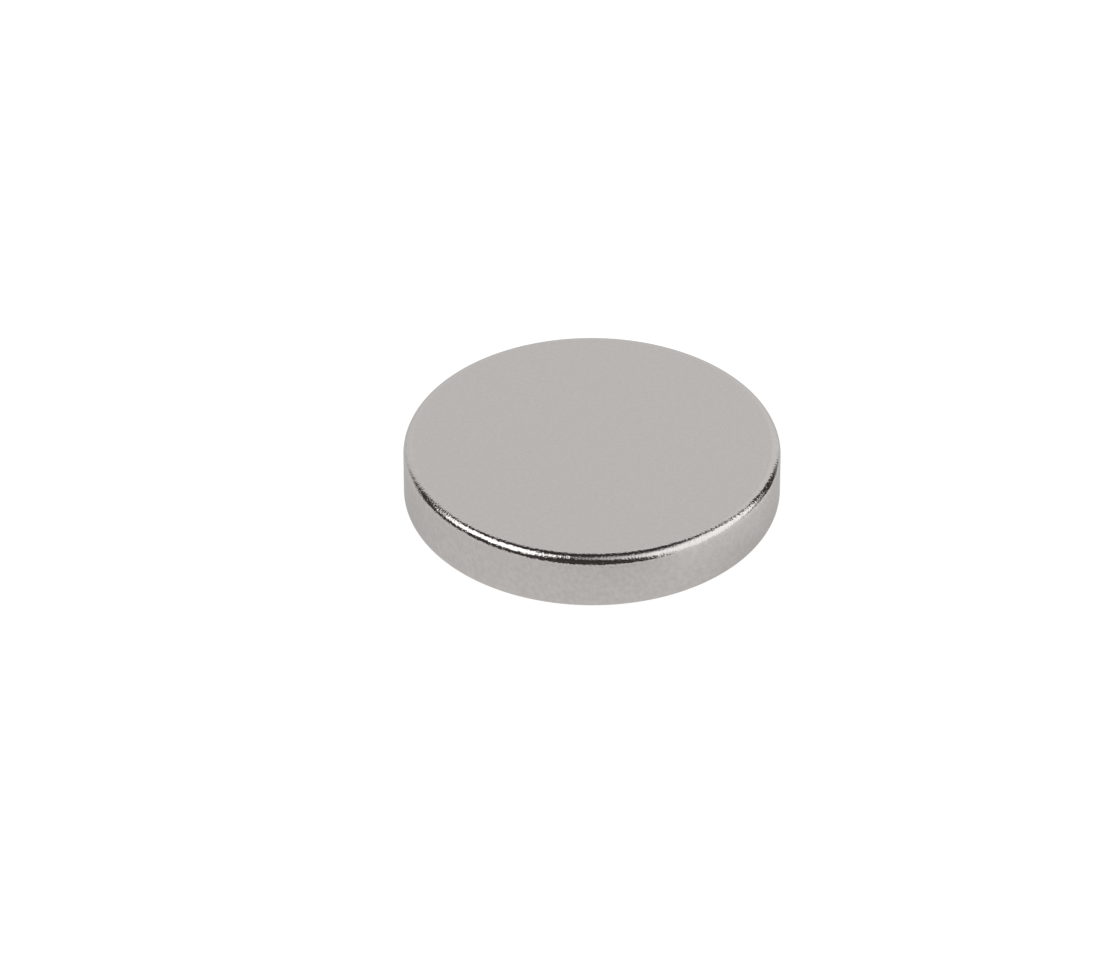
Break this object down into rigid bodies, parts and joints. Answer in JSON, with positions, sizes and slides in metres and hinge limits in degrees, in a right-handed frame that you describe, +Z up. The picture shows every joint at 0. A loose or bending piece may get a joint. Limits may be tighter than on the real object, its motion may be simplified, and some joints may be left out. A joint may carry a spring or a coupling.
{
  "type": "disc magnet",
  "caption": "Flat round disc magnet with plain faces, a straight rim and rounded edges, bright nickel plated; it holds to steel by either face or sits in a round pocket.",
  "frame": {"origin": "centre of the lower flat face, which lies on the surface", "axes": "+Z up along the disc's axis and its magnetised direction, from the lower face to the upper; X and Y lie across the face, and a round disc prefers neither"},
  "size_m": [0.018, 0.018, 0.003],
  "materials": {
    "nickel_plating": "bright nickel plating with a light satin bloom and a fine tumbled grain"
  },
  "bodies": {
    "root": {"disc_magnet": "nickel_plating"}
  },
  "joints": []
}
